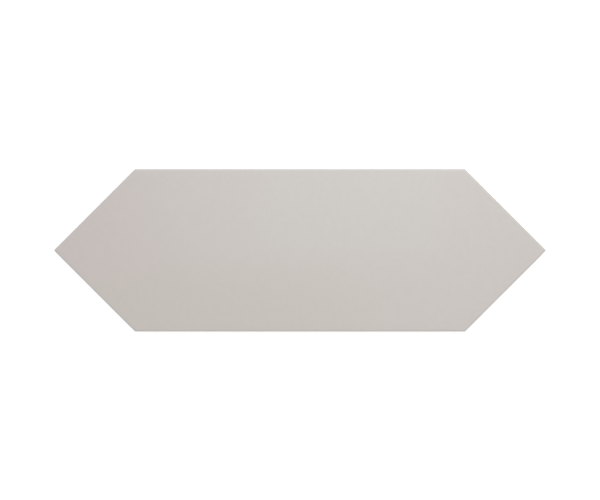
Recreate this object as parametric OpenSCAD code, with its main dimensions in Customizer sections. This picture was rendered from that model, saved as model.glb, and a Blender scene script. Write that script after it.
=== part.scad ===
// Kite tile: a dust-pressed ceramic tile whose outline is a long hexagon, with two
// parallel edges and a point at each end. It is one fired piece. The glazed face
// rolls over a rounded arris into an upright land, where the grout joint stands.
// Below the land the side wall has draft down to a small chamfer. The back carries a
// flat rim round a waffle of shallow cells that keys the bedding.
//
// X runs from point to point, Y across the tile and Z up through its thickness.
// The origin is at the middle of the back, in the plane that the tile rests on.

/* [Outline] */
// Length from point to point, as if the points were sharp
tile_length = 300; // [240:1:400]
// Width between the two long edges, land to land
tile_width = 99; // [80:1:130]
// Full angle of each point, where 90 cuts it at 45 degrees
point_angle = 90; // [80:1:110]
// Radius of the six upright corners, measured at the land
corner_r = 0.7; // [0.5:0.1:4]

/* [Thickness and side] */
// Thickness, from the crests of the back to the glazed face
tile_thickness = 8.5; // [7:0.1:12]
// Radius of the arris between the face and the land
arris_r = 1.2; // [0.5:0.1:1.4]
// Height of the upright land below the arris
land_h = 2.8; // [1:0.1:3.5]
// Slope of the side wall below the land, in degrees from upright
side_draft = 4; // [1:0.5:6]
// Chamfer round the edge of the back
back_chamfer = 0.5; // [0.2:0.1:0.7]

/* [Keyed back] */
// Width of the flat rim round the back
rim_w = 6; // [4:0.5:10]
// How many cells lie across the back, an even number for a rib on the middle line
cells_across = 8; // [4:2:10]
// Width of a rib at its crest
rib_w = 2.2; // [1.2:0.1:3]
// Depth of the cells
key_depth = 0.9; // [0.4:0.1:1.5]
// Slope of the cell walls, in degrees from upright
key_draft = 30; // [10:1:40]

/* [Hidden] */
$fn = 64;
glaze_colour = [0.79, 0.775, 0.755];
// How far a cutting shape reaches past the surface that it cuts
cut_margin = 1;
// The same below the back, for the recess and for the ribs that are kept out of it
recess_margin = 0.1;
rib_margin = 0.2;
// How far the round of a corner stands past the lands, so that it crosses them
corner_crossing = 0.02;

half_angle = point_angle / 2;
// Distance from the middle to the land of a long edge, and of a point's edge
long_reach = tile_width / 2;
point_reach = tile_length / 2 * sin(half_angle);
// Where a long edge meets the edge of a point
shoulder_x = tile_length / 2 - long_reach / tan(half_angle);

arris_bottom = tile_thickness - arris_r;
land_bottom = arris_bottom - land_h;
// How far the foot of the drafted wall stands back from the land
foot_inset = (land_bottom - back_chamfer) * tan(side_draft);
// How far the flat of the back stands back from the land
back_inset = foot_inset + back_chamfer;
// How far the cells stand back from the land
key_inset = back_inset + rim_w;

// The ribs of one direction stand this far apart, and the pitch is the same along X
rib_pitch = (2 * (long_reach - key_inset) + rib_w) / cells_across;
ribs_beside_middle_x = floor((tile_length / 2 - key_inset / sin(half_angle)) / rib_pitch);
ribs_beside_middle_y = cells_across / 2 - 1;

// The side wall from the back up to the land, as points beside a land at x = reach.
function side_wall(reach) = [
    [reach - back_inset, 0],
    [reach - foot_inset, back_chamfer],
    [reach, land_bottom]
];

// What the rounding of the arris takes off a square corner, beside a land at x = reach.
module arris_waste(reach) {
    translate([reach - arris_r, arris_bottom])
        difference() {
            square(arris_r + cut_margin);
            circle(arris_r);
        }
}

// The tile's section across a pair of parallel edges, with a land at reach on each side.
module section(reach) {
    right = side_wall(reach);
    left = [for (i = [len(right) - 1 : -1 : 0]) [-right[i][0], right[i][1]]];
    difference() {
        polygon(concat(right, [[reach, tile_thickness], [-reach, tile_thickness]], left));
        arris_waste(reach);
        mirror([1, 0]) arris_waste(reach);
    }
}

// A long bar along X whose ends see the 2D shape drawn in Y and Z.
module bar_along_x() {
    rotate([90, 0, 90])
        linear_extrude(tile_length + tile_width, center = true)
            children();
}

// What the three pairs of parallel edges have in common.
module mitred_blank() {
    intersection() {
        bar_along_x() section(long_reach);
        rotate(half_angle) bar_along_x() section(point_reach);
        rotate(-half_angle) bar_along_x() section(point_reach);
    }
}

// What softening takes off the mitred corner at vertex, which points towards heading.
module corner_waste(vertex, heading, corner_angle) {
    axis_to_vertex = corner_r / sin(corner_angle / 2);
    // Directions from the axis of the round to where it meets the two edges
    side_heading = 90 - corner_angle / 2;
    reach = corner_r + cut_margin;
    translate([vertex.x, vertex.y, -cut_margin])
        rotate(heading)
            translate([-axis_to_vertex, 0])
                linear_extrude(tile_thickness + 2 * cut_margin)
                    difference() {
                        polygon([
                            [0, 0],
                            reach * [cos(side_heading), -sin(side_heading)],
                            [axis_to_vertex + cut_margin, 0],
                            reach * [cos(side_heading), sin(side_heading)]
                        ]);
                        circle(corner_r + corner_crossing);
                    }
}

// The pressed blank, with a plain flat back.
module blank() {
    difference() {
        mitred_blank();
        for (end = [0, 180])
            corner_waste(tile_length / 2 * [cos(end), 0], end, point_angle);
        for (side_x = [-1, 1], side_y = [-1, 1])
            corner_waste(
                [side_x * shoulder_x, side_y * long_reach],
                atan2(side_y * cos(half_angle / 2), side_x * sin(half_angle / 2)),
                180 - half_angle
            );
    }
}

// The section of the recess in the back between a pair of parallel rims.
module recess_section(reach) {
    // The walls keep their slope as far as the cutting shape reaches below the back
    mouth = reach - key_inset;
    spread = recess_margin * tan(key_draft);
    floor_half = mouth - key_depth * tan(key_draft);
    polygon([
        [-mouth - spread, -recess_margin],
        [mouth + spread, -recess_margin],
        [floor_half, key_depth],
        [-floor_half, key_depth]
    ]);
}

// The section of one rib, a little taller than the recess is deep on both sides.
module rib_section() {
    low = -rib_margin;
    high = key_depth + rib_margin;
    low_half = rib_w / 2 + low * tan(key_draft);
    high_half = rib_w / 2 + high * tan(key_draft);
    polygon([[-low_half, low], [low_half, low], [high_half, high], [-high_half, high]]);
}

// The ribs that stand in the recess, in both directions.
module ribs() {
    for (i = [-ribs_beside_middle_y : ribs_beside_middle_y])
        translate([0, i * rib_pitch, 0]) bar_along_x() rib_section();
    for (i = [-ribs_beside_middle_x : ribs_beside_middle_x])
        translate([i * rib_pitch, 0, 0]) rotate(90) bar_along_x() rib_section();
}

// The cells: the recess inside the rim, less the ribs.
module cells() {
    difference() {
        intersection() {
            bar_along_x() recess_section(long_reach);
            rotate(half_angle) bar_along_x() recess_section(point_reach);
            rotate(-half_angle) bar_along_x() recess_section(point_reach);
        }
        ribs();
    }
}

module kite_tile() {
    color(glaze_colour)
        difference() {
            blank();
            cells();
        }
}

kite_tile();
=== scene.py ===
import math

import bpy
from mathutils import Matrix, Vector, noise
from mathutils.geometry import delaunay_2d_cdt


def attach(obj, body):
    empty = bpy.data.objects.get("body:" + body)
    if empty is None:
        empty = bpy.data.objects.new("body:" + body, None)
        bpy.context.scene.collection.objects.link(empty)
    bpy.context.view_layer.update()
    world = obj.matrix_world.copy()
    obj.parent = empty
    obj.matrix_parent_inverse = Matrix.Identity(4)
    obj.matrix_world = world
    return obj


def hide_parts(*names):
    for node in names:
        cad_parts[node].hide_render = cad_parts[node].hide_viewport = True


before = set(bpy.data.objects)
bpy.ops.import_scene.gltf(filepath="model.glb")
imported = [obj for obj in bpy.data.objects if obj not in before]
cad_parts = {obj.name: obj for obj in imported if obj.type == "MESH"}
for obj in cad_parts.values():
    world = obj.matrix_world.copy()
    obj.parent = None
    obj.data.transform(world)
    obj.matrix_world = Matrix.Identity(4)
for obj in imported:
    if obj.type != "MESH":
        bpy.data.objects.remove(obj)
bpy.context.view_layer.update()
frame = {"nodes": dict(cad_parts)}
print("CAD nodes:", ", ".join(frame["nodes"]))

mm = 0.001


# small helpers

def blend(a, b, t):
    return a + (b - a) * t


def softStep(low, high, value):
    # eased, 0 at low and 1 at high
    t = min(max((value - low) / (high - low), 0.0), 1.0)
    return t * t * (3 - 2 * t)


def pointing(angle):
    # the unit vector with this heading
    return Vector((math.cos(angle), math.sin(angle)))


# outline of the tile

tile = dict(
    length=300 * mm,        # over the sharp points
    width=99 * mm,
    pointAngle=90,          # degrees between the two cuts of a point
    thickness=8.5 * mm,
    cornerRound=0.7 * mm,
    leastRound=0.3 * mm,    # further in the corners get sharper, down to this
    roundShare=0.7,         # and a round takes no more than this share of the room inside it
    tipSteps=8,             # facets round a tip, and round a shoulder
    shoulderSteps=6,
    cutSteps=24,            # stretches along a 45 degree edge, and along a long edge
    longSteps=68,
)

halfPoint = math.radians(tile["pointAngle"] / 2)
longReach = tile["width"] / 2
cutReach = tile["length"] / 2 * math.sin(halfPoint)

# the six sides, each by the heading of its outward normal and its distance from the middle
sides = [
    (math.pi / 2 - halfPoint, cutReach),
    (math.pi / 2, longReach),
    (math.pi / 2 + halfPoint, cutReach),
    (-math.pi / 2 - halfPoint, cutReach),
    (-math.pi / 2, longReach),
    (-math.pi / 2 + halfPoint, cutReach),
]
longSides = (1, 4)
tipCorners = (0, 3)         # corner i lies just before side i


def crossing(sideA, sideB, inset):
    # where two sides meet once both are moved inwards
    (a, reachA), (b, reachB) = sideA, sideB
    reachA -= inset
    reachB -= inset
    spin = math.sin(b - a)
    return Vector((
        (reachA * math.sin(b) - reachB * math.sin(a)) / spin,
        (reachB * math.cos(a) - reachA * math.cos(b)) / spin,
    ))


def cornerArc(i, inset):
    # the rounded corner between side i and the one before it
    cornerRound = max(tile["cornerRound"] - inset, tile["leastRound"])
    cornerRound = min(cornerRound, tile["roundShare"] * (longReach - inset))
    steps = tile["tipSteps"] if i in tipCorners else tile["shoulderSteps"]
    before, after = sides[i - 1], sides[i]
    turn = (after[0] - before[0]) % (2 * math.pi)
    middle = before[0] + turn / 2
    centre = crossing(before, after, inset) - pointing(middle) * cornerRound / math.cos(turn / 2)
    return [centre + cornerRound * pointing(before[0] + turn * k / steps) for k in range(steps + 1)]


def outlineAt(inset):
    # the rounded hexagon moved inwards, always with the same number of points
    arcs = [cornerArc(i, inset) for i in range(len(sides))]
    points = []
    for i, arc in enumerate(arcs):
        points += arc
        start, end = arc[-1], arcs[(i + 1) % len(arcs)][0]
        steps = tile["longSteps"] if i in longSides else tile["cutSteps"]
        points += [start.lerp(end, k / steps) for k in range(1, steps)]
    return points


def edgeDistance(x, y):
    # how far a point of the face is from the nearest side
    return min(
        longReach - abs(y),
        cutReach - abs(x) * math.sin(halfPoint) - abs(y) * math.cos(halfPoint),
    )


# the mesh, as rings of points that are joined from the face down to the back

verts = []
polygons = []
polygonSlots = []
glazeSlot, bodySlot, engobeSlot = range(3)


def addRing(points, heights):
    start = len(verts)
    for (x, y), z in zip(points, heights):
        verts.append((x, y, z))
    return list(range(start, len(verts)))


def addLevelRing(points, height):
    return addRing(points, [height] * len(points))


def addPolygon(corners, slot):
    polygons.append(tuple(corners))
    polygonSlots.append(slot)


def joinRings(upper, lower, slot):
    # a band of quads, and the lower ring is the upper one of the next band
    for i in range(len(upper)):
        j = (i + 1) % len(upper)
        addPolygon((upper[i], lower[i], lower[j], upper[j]), slot)
    return lower


def addFan(hub, loop, slot):
    for i in range(len(loop)):
        addPolygon((hub, loop[i], loop[(i + 1) % len(loop)]), slot)


# glazed face

face = dict(
    # rings, by how many mm they lie in from the land: close together at the arris, then evenly spaced
    edgeInsets=[1.2, 1.5, 1.9, 2.4, 3.0, 3.8, 4.8, 6, 7.5, 9.2],
    openInsets=range(11, 46, 2),
    middleInsets=[46.8, 48.2, 49.1],
    arrisRound=1.2 * mm,
    arrisSteps=10,
    edgeFall=0.035 * mm,        # how much the glaze thins towards the arris
    edgeFallWidth=4.5 * mm,
    dish=0.05 * mm,             # the fired tile is a hair lower in its middle
    dishAcross=0.35,            # how fast the dish runs out across the tile, against 1 along it
    calmFrom=1 * mm,            # dish and waves start this far in, and are full at calmTo
    calmTo=14 * mm,
    waviness=0.018 * mm,
    waveLength=34 * mm,
    fineWaviness=0.4,           # the finer waves on top, as shares of the long ones
    fineWaveLength=0.37,
    waveSink=0.7,               # lowers the waves, because what stands over the flat is cut off
    seedShift=(7.31, -3.17, 1.7),       # pulls the layers of noise apart
)


def ripple(x, y, wave, seed):
    # one smooth noise value from -1 to 1, for bumps about half a wave wide
    shiftX, shiftY, shiftZ = (seed * shift for shift in face["seedShift"])
    return noise.noise(Vector((x / wave + shiftX, y / wave + shiftY, shiftZ)))


def faceHeight(x, y):
    near = edgeDistance(x, y)
    fall = face["edgeFall"] * (1 - softStep(0, face["edgeFallWidth"], near))
    calm = softStep(face["calmFrom"], face["calmTo"], near)
    out = (x / (tile["length"] / 2)) ** 2 + (y / longReach) ** 2 * face["dishAcross"]
    dish = face["dish"] * (1 - min(out, 1.0)) * calm
    longWave = ripple(x, y, face["waveLength"], 1)
    fineWave = face["fineWaviness"] * ripple(x, y, face["waveLength"] * face["fineWaveLength"], 2)
    wave = face["waviness"] * calm * (longWave + fineWave - face["waveSink"])
    return tile["thickness"] - fall - dish + min(wave, 0)


def closeMiddle(ring):
    # the innermost ring is a sliver along the middle line: quads from side to side, a fan at each end
    tips, shoulders = tile["tipSteps"], tile["shoulderSteps"]
    cuts, longs = tile["cutSteps"], tile["longSteps"]
    upperStart = tips + cuts + shoulders            # first point of the +Y long side
    upperEnd = upperStart + longs
    lowerStart = upperEnd + shoulders + cuts + tips + cuts + shoulders
    lowerEnd = lowerStart + longs
    for k in range(longs):
        addPolygon((ring[upperStart + k], ring[upperStart + k + 1],
                    ring[lowerEnd - k - 1], ring[lowerEnd - k]), glazeSlot)
    for first, last in ((lowerEnd - len(ring), upperStart), (upperEnd, lowerStart)):
        loop = [ring[i] for i in range(first, last + 1)]
        centre = sum((Vector(verts[i]) for i in loop), Vector()) / len(loop)
        verts.append(tuple(centre))
        addFan(len(verts) - 1, loop, glazeSlot)


def addFace():
    # rings from the middle out to the start of the arris
    insets = [*face["edgeInsets"], *face["openInsets"], *face["middleInsets"]]
    rings = []
    for insetMm in reversed(insets):
        points = outlineAt(insetMm * mm)
        rings.append(addRing(points, [faceHeight(p.x, p.y) for p in points]))
    for inner, outer in zip(rings, rings[1:]):
        joinRings(inner, outer, glazeSlot)
    closeMiddle(rings[0])
    return rings[-1]


def addArris(ring):
    # a quarter round from the face down to the land
    rimHeights = [verts[i][2] for i in ring]
    for k in range(1, face["arrisSteps"] + 1):
        share = k / face["arrisSteps"]
        angle = math.pi / 2 * share
        drop = face["arrisRound"] * (1 - math.cos(angle))
        heights = [blend(rim, tile["thickness"], share) - drop for rim in rimHeights]
        points = outlineAt(face["arrisRound"] * (1 - math.sin(angle)))
        ring = joinRings(ring, addRing(points, heights), glazeSlot)
    return ring


# land, lip of the glaze, and the pressed wall below it

side = dict(
    landHeight=2.8 * mm,
    landRings=(0.35, 0.7),      # shares of the way from the arris to the lip
    lipHeight=5.35 * mm,        # where the glaze stops, on average
    lipWander=0.40 * mm,
    lipWaves=9,                 # larger for more ups and downs on the way round the tile
    fineWander=0.55,            # a finer wander on top, as a share
    fineWave=2.6 * mm,
    wanderLayers=(0.4, 3.1),    # the slices of noise that the two wanders take
    lipStep=0.12 * mm,          # thickness of the glaze there
    lipShape=[(0.16, 0.004), (0.06, 0.025), (0.0, 0.075)],      # height over the lip and setback, mm
    # rings below the lip, by their share of the way down and what shows above them
    bodyRings=[(0.06, engobeSlot), (0.25, engobeSlot), (0.6, bodySlot), (1.0, bodySlot)],
    bodyDrop=0.02 * mm,         # those rings start this far below the lip
    levelBelow=0.25 * mm,       # and the last of them is level, this far below the land
    wallRings=(3.2, 2.2, 1.3, 0.75),        # heights, mm
    footStep=0.02 * mm,         # what is left of the step at the foot of the wall
    settling=(4.2 * mm, 0.9 * mm),          # the heights between which it fades
    draft=4,                    # degrees from upright, below the land
    backChamfer=0.5 * mm,
    # the chamfer with its two edges worn round: setback from the foot of the wall and height, mm
    wornChamfer=[(0.0, 0.58), (0.05, 0.46), (0.15, 0.33), (0.35, 0.13), (0.48, 0.035), (0.66, 0.0)],
    insetStep=0.02 * mm,        # outlines of the uneven rings are worked out this far apart
)

landBottom = tile["thickness"] - face["arrisRound"] - side["landHeight"]
footInset = (landBottom - side["backChamfer"]) * math.tan(math.radians(side["draft"]))
backInset = footInset + side["backChamfer"]


def lipAt(point):
    # height of the glaze's lower edge, which wanders a little round the tile
    angle = math.atan2(point.y, point.x)
    waves = side["lipWaves"]
    layer, fineLayer = side["wanderLayers"]
    wander = noise.noise(Vector((math.cos(angle) * waves, math.sin(angle) * waves, layer)))
    fine = noise.noise(Vector((point.x / side["fineWave"], point.y / side["fineWave"], fineLayer)))
    return side["lipHeight"] + side["lipWander"] * (wander + side["fineWander"] * fine)


def wallInset(z):
    # how far the pressed body stands back from the land at this height
    return max(landBottom - z, 0.0) * math.tan(math.radians(side["draft"]))


def addWallRing(heights, setback):
    # each point takes its own inset, because the heights differ round the ring
    outlines = {}
    points = []
    for i, z in enumerate(heights):
        steps = round((wallInset(z) + setback) / side["insetStep"])
        if steps not in outlines:
            outlines[steps] = outlineAt(steps * side["insetStep"])
        points.append(outlines[steps][i])
    return addRing(points, heights)


def addLand(ring, lips):
    landTop = tile["thickness"] - face["arrisRound"]
    for share in side["landRings"]:
        heights = [blend(landTop, lip + side["lipStep"], share) for lip in lips]
        ring = joinRings(ring, addRing(outlineAt(0), heights), glazeSlot)
    for above, setback in side["lipShape"]:
        lower = addWallRing([lip + above * mm for lip in lips], setback * mm)
        ring = joinRings(ring, lower, glazeSlot)
    return ring


def addWall(ring, lips):
    # a line of engobe shows below the glaze, and then the bare body
    level = landBottom - side["levelBelow"]
    for share, slot in side["bodyRings"]:
        heights = [blend(lip, level, share) - side["bodyDrop"] * (1 - share) for lip in lips]
        ring = joinRings(ring, addWallRing(heights, side["lipStep"]), slot)
    for zMm in side["wallRings"]:
        setback = blend(side["lipStep"], side["footStep"], softStep(*side["settling"], zMm * mm))
        ring = joinRings(ring, addWallRing([zMm * mm] * len(lips), setback), bodySlot)
    for setbackMm, zMm in side["wornChamfer"]:
        points = outlineAt(footInset + side["footStep"] + setbackMm * mm)
        ring = joinRings(ring, addLevelRing(points, zMm * mm), bodySlot)
    return ring


lips = [lipAt(p) for p in outlineAt(0)]
landRing = addArris(addFace())
rimRing = addWall(addLand(landRing, lips), lips)
print("face and sides:", len(verts), "points")


# pressed cells of the back

key = dict(
    rimWidth=6 * mm,
    cellsAcross=8,
    ribWidth=2.2 * mm,
    depth=0.9 * mm,
    draft=30,                   # degrees from upright
    crestRound=0.28 * mm,
    footRound=0.45 * mm,
    roundSteps=3,
    cornerSoftness=0.16 * mm,
    floorDip=0.01 * mm,
    leastRoom=0.45 * mm,        # a corner with less room than this takes no point of the die
    slopeShare=0.72,            # in a small cell the slopes take this share of the room
    rayOffsets=(0.2 * mm, 0.75 * mm),       # rays go to these places beside each corner
    rayShare=0.3,               # the farther one takes at most this share of an edge
    leastTurn=0.012,            # radians between two rays
)

keyInset = backInset + key["rimWidth"]
ribPitch = (2 * (longReach - keyInset) + key["ribWidth"]) / key["cellsAcross"]
ribsBesideX = math.floor((tile["length"] / 2 - keyInset / math.sin(halfPoint)) / ribPitch)


def cutPolygon(points, heading, reach):
    # keeps the part of a convex polygon on the inner side of a line
    normal = pointing(heading)
    kept = []
    for a, b in zip(points, points[1:] + points[:1]):
        aOut, bOut = normal.dot(a) - reach, normal.dot(b) - reach
        if aOut <= 0:
            kept.append(a)
        if (aOut < 0 < bOut) or (bOut < 0 < aOut):
            kept.append(a.lerp(b, aOut / (aOut - bOut)))
    return kept


def edgesOf(points):
    # each edge by its outward normal and its distance from the origin, without slivers
    leastEdge = 0.02 * mm
    edges = []
    for a, b in zip(points, points[1:] + points[:1]):
        along = b - a
        if along.length > leastEdge:
            normal = Vector((along.y, -along.x)).normalized()
            edges.append((normal, normal.dot(a)))
    return edges


def roomAt(edges, point):
    return min(reach - normal.dot(point) for normal, reach in edges)


def clearance(edges, point):
    # the same, eased where two edges meet so that corners come out round
    soft = key["cornerSoftness"]
    gaps = [reach - normal.dot(point) for normal, reach in edges]
    least = min(gaps)
    return least - soft * math.log(sum(math.exp((least - gap) / soft) for gap in gaps))


def deepest(edges, points):
    # the middle of the largest circle that fits, found by ever smaller steps in eight directions
    finestStep = 0.005 * mm
    leastGain = 1e-9
    ways = [pointing(k * math.pi / 4) for k in range(8)]
    best = sum(points, Vector((0, 0))) / len(points)
    step = max((p - best).length for p in points) / 2
    while step > finestStep:
        better = max((best + step * way for way in ways), key=lambda p: roomAt(edges, p))
        if roomAt(edges, better) > roomAt(edges, best) + leastGain:
            best = better
        else:
            step /= 2
    return best


def cellProfile():
    # inset from the mouth and depth, over the crest of the rib and down to the floor
    slope = math.radians(90 - key["draft"])
    run = key["depth"] / math.tan(slope)
    crest, foot = key["crestRound"], key["footRound"]
    crestReach, footReach = crest * math.tan(slope / 2), foot * math.tan(slope / 2)
    turns = [slope * k / key["roundSteps"] for k in range(key["roundSteps"] + 1)]
    over = [(crest * math.sin(t) - crestReach, crest * (1 - math.cos(t))) for t in turns]
    under = [
        (run + footReach - foot * math.sin(t), key["depth"] - foot * (1 - math.cos(t)))
        for t in reversed(turns)
    ]
    return over + under


def cellRays(points, centre):
    # where the rays from the middle go: close together at the corners, one at the middle of each edge
    rays = []
    for i, corner in enumerate(points):
        before, after = points[i - 1], points[(i + 1) % len(points)]
        for towards in (before, after):
            away = towards - corner
            farthest = away.length * key["rayShare"] / key["rayOffsets"][-1]
            for offset in key["rayOffsets"]:
                rays.append(corner + away.normalized() * min(offset, offset * farthest) - centre)
        rays.append(corner - centre)
        rays.append((corner + after) / 2 - centre)
    headings = sorted(math.atan2(ray.y, ray.x) for ray in rays)
    kept = headings[:1]
    for heading in headings[1:]:
        if heading - kept[-1] > key["leastTurn"]:
            kept.append(heading)
    return [pointing(heading) for heading in kept]


def levelAlong(edges, centre, ray, level):
    # how far along a ray the eased clearance falls to this level, by halving
    halvings = 26
    near, far = 0.0, ribPitch
    for _ in range(halvings):
        half = (near + far) / 2
        if clearance(edges, centre + ray * half) > level:
            near = half
        else:
            far = half
    return near


def cellOutline(column, row):
    # one square of the waffle, cut off where it would reach into the rim
    halfRib = key["ribWidth"] / 2
    left, right = column * ribPitch + halfRib, (column + 1) * ribPitch - halfRib
    low, high = row * ribPitch + halfRib, (row + 1) * ribPitch - halfRib
    cell = [Vector((left, low)), Vector((right, low)), Vector((right, high)), Vector((left, high))]
    for heading, reach in sides:
        cell = cutPolygon(cell, heading, reach - keyInset)
    return cell


def addCell(cell, profile):
    # returns the ring at the cell's mouth, or nothing where there is no room for a cell
    edges = edgesOf(cell)
    if len(edges) < 3:
        return None
    centre = deepest(edges, cell)
    room = roomAt(edges, centre)
    if room < key["leastRoom"]:
        return None
    shrink = min(1.0, key["slopeShare"] * room / profile[-1][0])
    rays = cellRays(cell, centre)
    rings = []
    for inset, depth in profile:
        points = [centre + ray * levelAlong(edges, centre, ray, inset * shrink) for ray in rays]
        rings.append(addLevelRing(points, depth * shrink))
    for outer, inner in zip(rings, rings[1:]):
        joinRings(outer, inner, bodySlot)
    verts.append((centre.x, centre.y, profile[-1][1] * shrink + key["floorDip"]))
    addFan(len(verts) - 1, rings[-1][::-1], bodySlot)
    return rings[0]


def addCells():
    profile = cellProfile()
    halfAcross = key["cellsAcross"] // 2
    mouths = []
    for column in range(-ribsBesideX - 1, ribsBesideX + 1):
        for row in range(-halfAcross, halfAcross):
            mouth = addCell(cellOutline(column, row), profile)
            if mouth:
                mouths.append(mouth)
    print("cells:", len(mouths), "points:", len(verts))
    return mouths


def addBackFlat(rim, mouths):
    # the flat of the rim and the ribs, one sheet with a hole at each cell
    insideOnly = 1              # keeps the triangles that lie inside the loops
    weldDistance = 1e-9
    before = len(polygons)
    flatIds = []
    loops = []
    for ring in [rim, *mouths]:
        loops.append(list(range(len(flatIds), len(flatIds) + len(ring))))
        flatIds += ring
    points = [Vector(verts[i][:2]) for i in flatIds]
    edges = [(loop[i - 1], loop[i]) for loop in loops for i in range(len(loop))]
    outPoints, _, outFaces, origPoints, _, origFaces = delaunay_2d_cdt(
        points, edges, loops, insideOnly, weldDistance)
    flatOf = {}
    for i, origins in enumerate(origPoints):
        if origins:
            flatOf[i] = flatIds[origins[0]]
        else:
            verts.append((outPoints[i].x, outPoints[i].y, 0.0))
            flatOf[i] = len(verts) - 1
    for corners, origins in zip(outFaces, origFaces):
        if set(origins) == {0}:             # inside the rim and in no cell
            addPolygon((flatOf[i] for i in reversed(corners)), bodySlot)
    print("flat of the back:", len(polygons) - before, "triangles")


addBackFlat(rimRing, addCells())

mesh = bpy.data.meshes.new("kiteTile")
mesh.from_pydata(verts, [], polygons)
kiteTile = bpy.data.objects.new("kiteTile", mesh)
bpy.context.scene.collection.objects.link(kiteTile)
mesh.polygons.foreach_set("material_index", polygonSlots)
mesh.polygons.foreach_set("use_smooth", [True] * len(polygons))
mesh.update()
mesh.validate(verbose=True)


# node helpers

def plug(tree, socket, value):
    # a node's output is linked, a plain value is set, and a colour is given as three numbers
    if isinstance(value, bpy.types.NodeSocket):
        tree.links.new(value, socket)
    elif socket.type == "RGBA":
        socket.default_value = (*value, 1)
    else:
        socket.default_value = value


def dress(tree, made, inputs):
    for name, value in inputs.items():
        plug(tree, made.inputs[name], value)


def node(tree, kind, settings=None, inputs=None):
    made = tree.nodes.new(kind)
    for name, value in (settings or {}).items():
        setattr(made, name, value)
    dress(tree, made, inputs or {})
    return made


def newMaterial(name):
    material = bpy.data.materials.new(name)
    material.use_nodes = True
    tree = material.node_tree
    tree.nodes.clear()
    shader = tree.nodes.new("ShaderNodeBsdfPrincipled")
    node(tree, "ShaderNodeOutputMaterial", inputs={"Surface": shader.outputs["BSDF"]})
    return material, tree, shader


def maths(tree, operation, first, second, *more):
    # numbers or outputs of nodes, taken one after another
    made = node(tree, "ShaderNodeMath", {"operation": operation}, {0: first, 1: second}).outputs[0]
    return maths(tree, operation, made, *more) if more else made


def absolute(tree, value):
    return node(tree, "ShaderNodeMath", {"operation": "ABSOLUTE"}, {0: value}).outputs[0]


def between(tree, value, low, high, toLow=0.0, toHigh=1.0):
    made = node(tree, "ShaderNodeMapRange", {"interpolation_type": "SMOOTHSTEP"},
                {"Value": value, "From Min": low, "From Max": high, "To Min": toLow, "To Max": toHigh})
    return made.outputs["Result"]


# the mix node's sockets for colours
mixFactor, mixA, mixB, mixResult = 0, 6, 7, 2


def tint(tree, amount, a, b, way="MIX"):
    made = node(tree, "ShaderNodeMix", {"data_type": "RGBA", "blend_type": way},
                {mixFactor: amount, mixA: a, mixB: b})
    return made.outputs[mixResult]


def speckle(tree, where, scale, detail, rough, seed, reach=None, to=(0.0, 1.0)):
    # plain noise, or with reach only that stretch of it, spread out over the values in to
    made = node(tree, "ShaderNodeTexNoise", {"noise_dimensions": "4D"},
                {"Vector": where, "W": seed, "Scale": scale, "Detail": detail, "Roughness": rough})
    value = made.outputs["Fac"]
    return between(tree, value, *reach, *to) if reach else value


def grains(tree, where, scale):
    # distance from the middle of the nearest grain
    made = node(tree, "ShaderNodeTexVoronoi", {"feature": "F1"}, {"Vector": where, "Scale": scale})
    return made.outputs["Distance"]


def bumpOf(tree, height, strength, distance):
    made = node(tree, "ShaderNodeBump",
                inputs={"Height": height, "Strength": strength, "Distance": distance})
    return made.outputs["Normal"]


def placeOf(tree):
    return node(tree, "ShaderNodeTexCoord").outputs["Object"]


def axesOf(tree, place):
    return node(tree, "ShaderNodeSeparateXYZ", inputs={"Vector": place}).outputs


# satin glaze

glaze = dict(
    colour=(0.553, 0.519, 0.492),           # linear
    rosyEnd=(0.551, 0.500, 0.481),          # the left end, a shade pinker
    rosyLean=0.5,                           # how far the rosy end leans towards the lower left
    rosyX=(-55 * mm, -122 * mm),            # from nothing to full, as in all that follow
    warmFootPaintedShade=(0.5412, 0.5052, 0.4665),      # the lower left, warmer, and darker as painted shade
    paintedShadeX=(95 * mm, -10 * mm),
    paintedShadeY=(4 * mm, -30 * mm),
    paintedShadeOnRosy=0.65,                        # share of it that shows on the rosy end
    coolMiddlePaintedLight=(0.549, 0.5255, 0.4955),     # the upper middle, a shade more neutral, and lighter as painted light
    paintedLightLeft=(-35 * mm, -5 * mm),
    paintedLightRight=(100 * mm, 70 * mm),
    paintedLightY=(-6 * mm, 8 * mm),
    cloud=dict(scale=26, detail=3, rough=0.5, seed=2.0),
    cloudDrift=50 * mm,                     # how far the clouds move those borders along X
    thinEdge=(0.556, 0.538, 0.520),         # over the arris, where the glaze is thin
    thinWidth=(1.6 * mm, 0.2 * mm),
    thinHeight=(6.3 * mm, 7.6 * mm),
    mottling=dict(scale=310, detail=3, rough=0.6, seed=5.0, reach=(0.3, 0.7), to=(0.99, 1.01)),
    roughness=dict(scale=45, detail=2, rough=0.5, seed=8.0, reach=(0.25, 0.75), to=(0.37, 0.47)),
    ior=1.5,
    peel=dict(scale=620, detail=2, rough=0.5, seed=11.0),
    peelHeight=0.016 * mm,
    peelStrength=0.3,
)


def fromEdge(tree, axes):
    # the distance to the nearest side, worked out as edgeDistance does
    absX = absolute(tree, axes["X"])
    absY = absolute(tree, axes["Y"])
    fromLong = maths(tree, "SUBTRACT", longReach, absY)
    reached = maths(tree, "MULTIPLY", maths(tree, "ADD", absX, absY), math.sin(halfPoint))
    return maths(tree, "MINIMUM", fromLong, maths(tree, "SUBTRACT", cutReach, reached))


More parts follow.
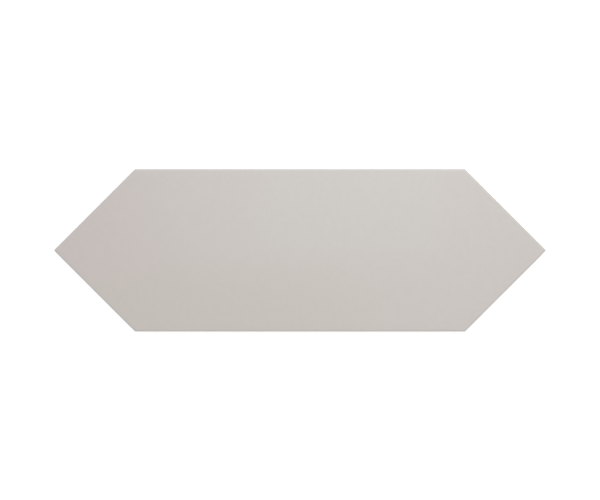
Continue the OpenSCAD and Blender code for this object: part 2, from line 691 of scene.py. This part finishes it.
def makeSatinGlaze():
    material, tree, shader = newMaterial("satinGlaze")
    place = placeOf(tree)
    axes = axesOf(tree, place)
    cloud = maths(tree, "SUBTRACT", speckle(tree, place, **glaze["cloud"]), 0.5)
    drift = maths(tree, "ADD", axes["X"], maths(tree, "MULTIPLY", cloud, glaze["cloudDrift"]))

    leaning = maths(tree, "ADD", drift, maths(tree, "MULTIPLY", axes["Y"], glaze["rosyLean"]))
    rosy = between(tree, leaning, *glaze["rosyX"])
    shade = tint(tree, rosy, glaze["colour"], glaze["rosyEnd"])
    # painted shade: the lower left turns warmer and darker
    paintedShade = maths(tree, "MULTIPLY", between(tree, drift, *glaze["paintedShadeX"]),
                 between(tree, axes["Y"], *glaze["paintedShadeY"]),
                 between(tree, rosy, 0.0, 1.0, 1.0, glaze["paintedShadeOnRosy"]))
    shade = tint(tree, paintedShade, shade, glaze["warmFootPaintedShade"])
    # painted light: the upper middle turns more neutral and lighter
    paintedLight = maths(tree, "MULTIPLY", between(tree, axes["Y"], *glaze["paintedLightY"]),
                 between(tree, drift, *glaze["paintedLightLeft"]), between(tree, drift, *glaze["paintedLightRight"]))
    shade = tint(tree, paintedLight, shade, glaze["coolMiddlePaintedLight"])
    thin = maths(tree, "MULTIPLY", between(tree, fromEdge(tree, axes), *glaze["thinWidth"]),
                 between(tree, axes["Z"], *glaze["thinHeight"]))
    shade = tint(tree, thin, shade, glaze["thinEdge"])
    mottling = speckle(tree, place, **glaze["mottling"])
    grey = node(tree, "ShaderNodeCombineColor", inputs={0: mottling, 1: mottling, 2: mottling})
    peel = speckle(tree, place, **glaze["peel"])
    dress(tree, shader, {
        "Base Color": tint(tree, 1.0, shade, grey.outputs[0], "MULTIPLY"),
        "Roughness": speckle(tree, place, **glaze["roughness"]),
        "IOR": glaze["ior"],
        "Normal": bumpOf(tree, peel, glaze["peelStrength"], glaze["peelHeight"]),
    })
    return material


# fired body

body = dict(
    colour=(0.63, 0.56, 0.47),
    dark=(0.50, 0.43, 0.35),
    grain=dict(scale=2600, detail=4, rough=0.7, seed=1.0),
    darkGrain=(0.35, 0.75),                 # the stretch of the grain over which it turns dark
    patches=dict(scale=60, detail=3, rough=0.55, seed=4.0, reach=(0.3, 0.75), to=(0.0, 0.25)),
    fleck=(0.30, 0.24, 0.18),               # grains of iron in the clay
    fleckScale=520,
    fleckSize=(0.16, 0.08),                 # how far a fleck reaches, and how far it is full
    fleckDepth=0.45,
    wash=(0.74, 0.71, 0.66),                # dusty kiln wash on what stood on the kiln's rollers
    washHeight=(0.12 * mm, 0.0),
    washStreaks=(55.0, 210.0, 40.0),        # scale along each axis, so that it is smeared along X
    washSmear=dict(scale=1.0, detail=5, rough=0.7, seed=6.0, reach=(0.36, 0.66), to=(0.12, 0.62)),
    washOnGrain=(0.30, 0.60, 0.25, 1.0),    # over this stretch of the grain it covers from 0.25 to 1
    mist=(0.62, 0.59, 0.55),                # stray glaze on the land, below the lip
    mistSpots=dict(scale=1900, detail=2, rough=0.5, seed=9.0, reach=(0.50, 0.60), to=(0.0, 0.7)),
    mistHeight=(3.7 * mm, 5.2 * mm),
    poreScale=900,
    poreSize=0.22,
    grainRelief=0.7,                        # the rest of the relief is pores
    bumpStrength=0.7,
    bumpHeight=0.05 * mm,
    roughness=0.88,
    ior=1.45,
)


def makeFiredBody():
    material, tree, shader = newMaterial("firedBody")
    place = placeOf(tree)
    height = axesOf(tree, place)["Z"]
    grain = speckle(tree, place, **body["grain"])
    shade = tint(tree, between(tree, grain, *body["darkGrain"]), body["colour"], body["dark"])
    shade = tint(tree, speckle(tree, place, **body["patches"]), shade, body["dark"])
    flecks = between(tree, grains(tree, place, body["fleckScale"]), *body["fleckSize"],
                     0.0, body["fleckDepth"])
    shade = tint(tree, flecks, shade, body["fleck"])

    streaks = node(tree, "ShaderNodeMapping", inputs={"Vector": place, "Scale": body["washStreaks"]})
    smear = speckle(tree, streaks.outputs[0], **body["washSmear"])
    powder = maths(tree, "MULTIPLY", between(tree, height, *body["washHeight"]), smear,
                   between(tree, grain, *body["washOnGrain"]))
    shade = tint(tree, powder, shade, body["wash"])
    spots = speckle(tree, place, **body["mistSpots"])
    mist = maths(tree, "MULTIPLY", between(tree, height, *body["mistHeight"]), spots)
    shade = tint(tree, mist, shade, body["mist"])

    pores = between(tree, grains(tree, place, body["poreScale"]), 0.0, body["poreSize"])
    relief = maths(tree, "ADD", maths(tree, "MULTIPLY", grain, body["grainRelief"]),
                   maths(tree, "MULTIPLY", pores, 1 - body["grainRelief"]))
    dress(tree, shader, {
        "Base Color": shade,
        "Roughness": body["roughness"],
        "IOR": body["ior"],
        "Normal": bumpOf(tree, relief, body["bumpStrength"], body["bumpHeight"]),
    })
    return material


# engobe, the dull pale coat between the body and the glaze

engobe = dict(
    colour=(0.70, 0.67, 0.62),
    dull=(0.63, 0.59, 0.53),
    clouding=dict(scale=1300, detail=3, rough=0.6, seed=3.0, reach=(0.35, 0.7)),
    roughness=0.75,
)


def makeEngobeCoat():
    material, tree, shader = newMaterial("engobeCoat")
    clouding = speckle(tree, placeOf(tree), **engobe["clouding"])
    dress(tree, shader, {
        "Base Color": tint(tree, clouding, engobe["colour"], engobe["dull"]),
        "Roughness": engobe["roughness"],
    })
    return material


# in the order of glazeSlot, bodySlot and engobeSlot
for material in (makeSatinGlaze(), makeFiredBody(), makeEngobeCoat()):
    mesh.materials.append(material)
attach(kiteTile, "root")
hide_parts("kite_tile")
print("tile:", len(mesh.polygons), "faces")


# floor and light

studio = dict(
    floorSize=6.0,
    floorColour=(0.80, 0.80, 0.80),
    floorRoughness=0.9,
    floorDrop=0.02 * mm,        # just below the back
    floorLift=0.57,             # added for the camera alone, so the lit floor is white
    fill=0.679,                 # light from all round
)
white = (1, 1, 1)

overSoftbox = dict(             # above the far right of the tile
    size=0.30,
    place=(0.059, 0.155, 0.30),
    target=(0.03, 0.01, 0),
    power=0.262,
)

sideSoftbox = dict(             # a large one from the upper right
    size=0.60,
    place=(0.86, 1.40, 1.64),
    target=(0, 0, 0),
    power=14.6,
)


def seenDirectly(tree):
    # 1 where the camera sees the surface, also in a reflection or through glass
    rays = node(tree, "ShaderNodeLightPath").outputs
    return maths(tree, "MAXIMUM", rays["Is Camera Ray"], rays["Is Glossy Ray"],
                 rays["Is Transmission Ray"])


def makeFloorPaint():
    material, tree, shader = newMaterial("floorPaint")
    dress(tree, shader, {
        "Base Color": studio["floorColour"],
        "Roughness": studio["floorRoughness"],
        "Emission Color": white,
        "Emission Strength": maths(tree, "MULTIPLY", seenDirectly(tree), studio["floorLift"]),
    })
    return material


def makeFloor():
    half = studio["floorSize"] / 2
    floorMesh = bpy.data.meshes.new("paleFloor")
    corners = [(-half, -half, 0), (half, -half, 0), (half, half, 0), (-half, half, 0)]
    floorMesh.from_pydata(corners, [], [(0, 1, 2, 3)])
    floorMesh.materials.append(makeFloorPaint())
    paleFloor = bpy.data.objects.new("paleFloor", floorMesh)
    paleFloor.location.z = -studio["floorDrop"]
    bpy.context.scene.collection.objects.link(paleFloor)


def makeWorld():
    world = bpy.data.worlds.new("studioWorld")
    world.use_nodes = True
    tree = world.node_tree
    tree.nodes.clear()
    strength = between(tree, seenDirectly(tree), 0.0, 1.0, studio["fill"], 1.0)
    backdrop = node(tree, "ShaderNodeBackground", inputs={"Color": white, "Strength": strength})
    node(tree, "ShaderNodeOutputWorld", inputs={"Surface": backdrop.outputs[0]})
    bpy.context.scene.world = world


def makeSoftbox(name, size, place, target, power):
    data = bpy.data.lights.new(name, "AREA")
    data.shape = "DISK"
    data.size = size
    data.energy = power
    lamp = bpy.data.objects.new(name, data)
    bpy.context.scene.collection.objects.link(lamp)
    lamp.location = place
    lamp.rotation_mode = "QUATERNION"
    lamp.rotation_quaternion = (Vector(target) - lamp.location).to_track_quat("-Z", "Y")
    lamp.visible_camera = False


makeFloor()
makeWorld()
makeSoftbox("overSoftbox", **overSoftbox)
makeSoftbox("sideSoftbox", **sideSoftbox)


# camera, straight above the tile

camera = dict(
    lens=120.0,                 # mm
    sensor=36.0,
    pixelsPerMm=1.6437,
    imageWidth=600,
    offset=(-0.03 * mm, 0.13 * mm),
    nearest=0.05,
    farthest=20,
)
cameraData = bpy.data.cameras.new("overheadCamera")
cameraData.lens = camera["lens"]
cameraData.sensor_width = camera["sensor"]
cameraData.sensor_fit = "HORIZONTAL"
cameraData.clip_start = camera["nearest"]
cameraData.clip_end = camera["farthest"]
overhead = bpy.data.objects.new("overheadCamera", cameraData)
bpy.context.scene.collection.objects.link(overhead)
seenWidth = camera["imageWidth"] / camera["pixelsPerMm"] * mm
overhead.location = (*camera["offset"], tile["thickness"] + seenWidth * camera["lens"] / camera["sensor"])
bpy.context.scene.camera = overhead
bpy.context.scene.view_settings.view_transform = "Standard"
print("studio is set")
